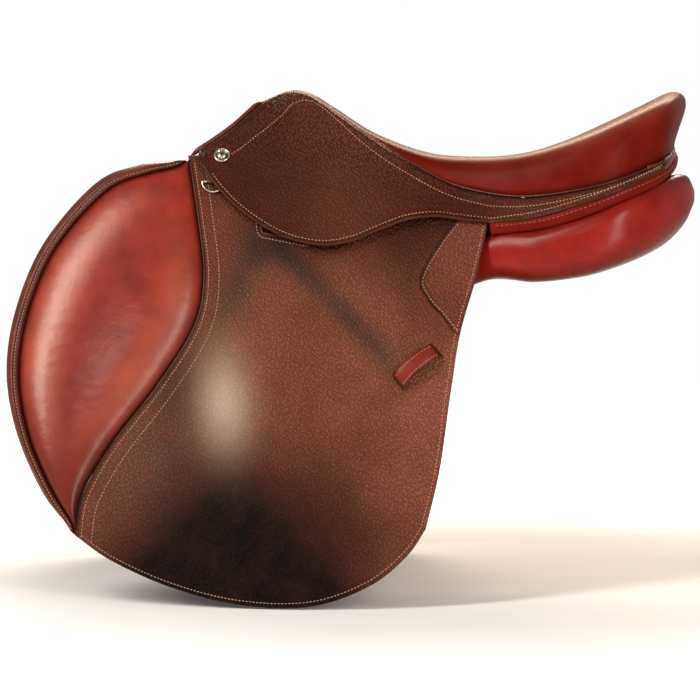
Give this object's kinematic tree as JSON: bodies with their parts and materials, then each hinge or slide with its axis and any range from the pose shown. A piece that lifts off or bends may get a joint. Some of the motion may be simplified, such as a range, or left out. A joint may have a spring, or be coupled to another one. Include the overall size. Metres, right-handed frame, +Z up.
{
  "type": "jumping saddle",
  "caption": "Close-contact jumping saddle with grained leather flaps, padded knee fronts, lifting flaps and skirts, girth straps, stirrup bars and front dees",
  "frame": {"origin": "On the centre plane at the middle of the panels' length, level with the lowest point of their rear part", "axes": "+X towards the cantle, +Z up, the near side at -Y"},
  "size_m": [0.6603, 0.4706, 0.4832],
  "materials": {
    "grained_leather": "pebble grained, waxed",
    "calf_leather": "smooth, glossy",
    "strap_leather": "waxed bridle leather",
    "block_leather": "covered block",
    "tree_wood": "laminated, varnished",
    "webbing": "woven",
    "seat_foam": "open cell",
    "nickel": "polished nickel"
  },
  "bodies": {
    "saddle": {"tree_head": "tree_wood", "head_plate": "nickel", "gullet_plate": "nickel", "tree_rivets": "nickel", "tree_cantle": "tree_wood", "seat_web_long": "webbing", "seat_web_cross": "webbing", "seat_foam": "seat_foam", "seat_cover": "calf_leather", "pommel_facing": "calf_leather", "panel_channel": "calf_leather", "rear_welt": "calf_leather", "tree_rail_left": "tree_wood", "tree_rail_right": "tree_wood", "tree_spring_left": "nickel", "tree_spring_right": "nickel", "skirt_left": "grained_leather", "skirt_right": "grained_leather", "saddle_nail_left": "nickel", "saddle_nail_right": "nickel", "panel_left": "calf_leather", "panel_right": "calf_leather", "sweat_flap_left": "strap_leather", "sweat_flap_right": "strap_leather", "girth_web_left": "webbing", "girth_web_right": "webbing", "billet_guard_left": "strap_leather", "billet_guard_right": "strap_leather", "thigh_block_left": "block_leather", "thigh_block_right": "block_leather", "stirrup_bar_left": "nickel", "stirrup_bar_right": "nickel"},
    "bar_catch_left_body": {"bar_catch_left": "nickel"},
    "bar_catch_right_body": {"bar_catch_right": "nickel"},
    "flap_left_body": {"flap_left": "grained_leather", "knee_pad_left": "calf_leather", "knee_binding_left": "calf_leather", "flap_patch_left": "grained_leather", "keeper_left": "calf_leather", "dee_rivet_left": "nickel"},
    "flap_right_body": {"flap_right": "grained_leather", "knee_pad_right": "calf_leather", "knee_binding_right": "calf_leather", "flap_patch_right": "grained_leather", "keeper_right": "calf_leather", "dee_rivet_right": "nickel"},
    "dee_left_body": {"dee_chape_left": "strap_leather", "dee_ring_left": "nickel"},
    "dee_right_body": {"dee_chape_right": "strap_leather", "dee_ring_right": "nickel"},
    "skirt_flap_left_body": {"skirt_flap_left": "grained_leather"},
    "skirt_flap_right_body": {"skirt_flap_right": "grained_leather"},
    "billet_front_left_body": {"billet_front_left": "strap_leather"},
    "billet_front_right_body": {"billet_front_right": "strap_leather"},
    "billet_rear_left_body": {"billet_rear_left": "strap_leather"},
    "billet_rear_right_body": {"billet_rear_right": "strap_leather"}
  },
  "joints": [
    {"name": "flap_left_lift", "type": "hinge", "parent": "saddle", "child": "flap_left_body", "pos_m": [-0.1, -0.10572, 0.08501], "axis": [-0.964, 0.1685, 0.2056], "range_deg": [0, 70]},
    {"name": "skirt_left_lift", "type": "hinge", "parent": "flap_left_body", "child": "skirt_flap_left_body", "pos_m": [-0.1, -0.10572, 0.08501], "axis": [-0.964, 0.1685, 0.2056], "range_deg": [0, 50]},
    {"name": "dee_left_swing", "type": "hinge", "parent": "flap_left_body", "child": "dee_left_body", "pos_m": [-0.226, -0.07903, 0.10288], "axis": [-0.0725, -0.9108, 0.4064], "range_deg": [-12, 12]},
    {"name": "billet_front_left_swing", "type": "hinge", "parent": "saddle", "child": "billet_front_left_body", "pos_m": [-0.101, -0.12062, 0.01022], "axis": [-0.0895, -0.934, 0.3458], "range_deg": [-6, 6]},
    {"name": "billet_rear_left_swing", "type": "hinge", "parent": "saddle", "child": "billet_rear_left_body", "pos_m": [-0.043, -0.13076, -0.00215], "axis": [-0.0895, -0.934, 0.3458], "range_deg": [-6, 6]},
    {"name": "bar_catch_left_flip", "type": "hinge", "parent": "saddle", "child": "bar_catch_left_body", "pos_m": [-0.14121, -0.08848, 0.07657], "axis": [-0.0743, -0.9134, 0.4003], "range_deg": [0, 40]},
    {"name": "flap_right_lift", "type": "hinge", "parent": "saddle", "child": "flap_right_body", "pos_m": [-0.1, 0.10572, 0.08501], "axis": [0.964, 0.1685, -0.2056], "range_deg": [0, 70]},
    {"name": "skirt_right_lift", "type": "hinge", "parent": "flap_right_body", "child": "skirt_flap_right_body", "pos_m": [-0.1, 0.10572, 0.08501], "axis": [0.964, 0.1685, -0.2056], "range_deg": [0, 50]},
    {"name": "dee_right_swing", "type": "hinge", "parent": "flap_right_body", "child": "dee_right_body", "pos_m": [-0.226, 0.07903, 0.10288], "axis": [-0.0725, 0.9108, 0.4064], "range_deg": [-12, 12]},
    {"name": "billet_front_right_swing", "type": "hinge", "parent": "saddle", "child": "billet_front_right_body", "pos_m": [-0.101, 0.12062, 0.01022], "axis": [-0.0895, 0.934, 0.3458], "range_deg": [-6, 6]},
    {"name": "billet_rear_right_swing", "type": "hinge", "parent": "saddle", "child": "billet_rear_right_body", "pos_m": [-0.043, 0.13076, -0.00215], "axis": [-0.0895, 0.934, 0.3458], "range_deg": [-6, 6]},
    {"name": "bar_catch_right_flip", "type": "hinge", "parent": "saddle", "child": "bar_catch_right_body", "pos_m": [-0.14121, 0.08848, 0.07657], "axis": [0.0743, -0.9134, -0.4003], "range_deg": [0, 40]}
  ]
}
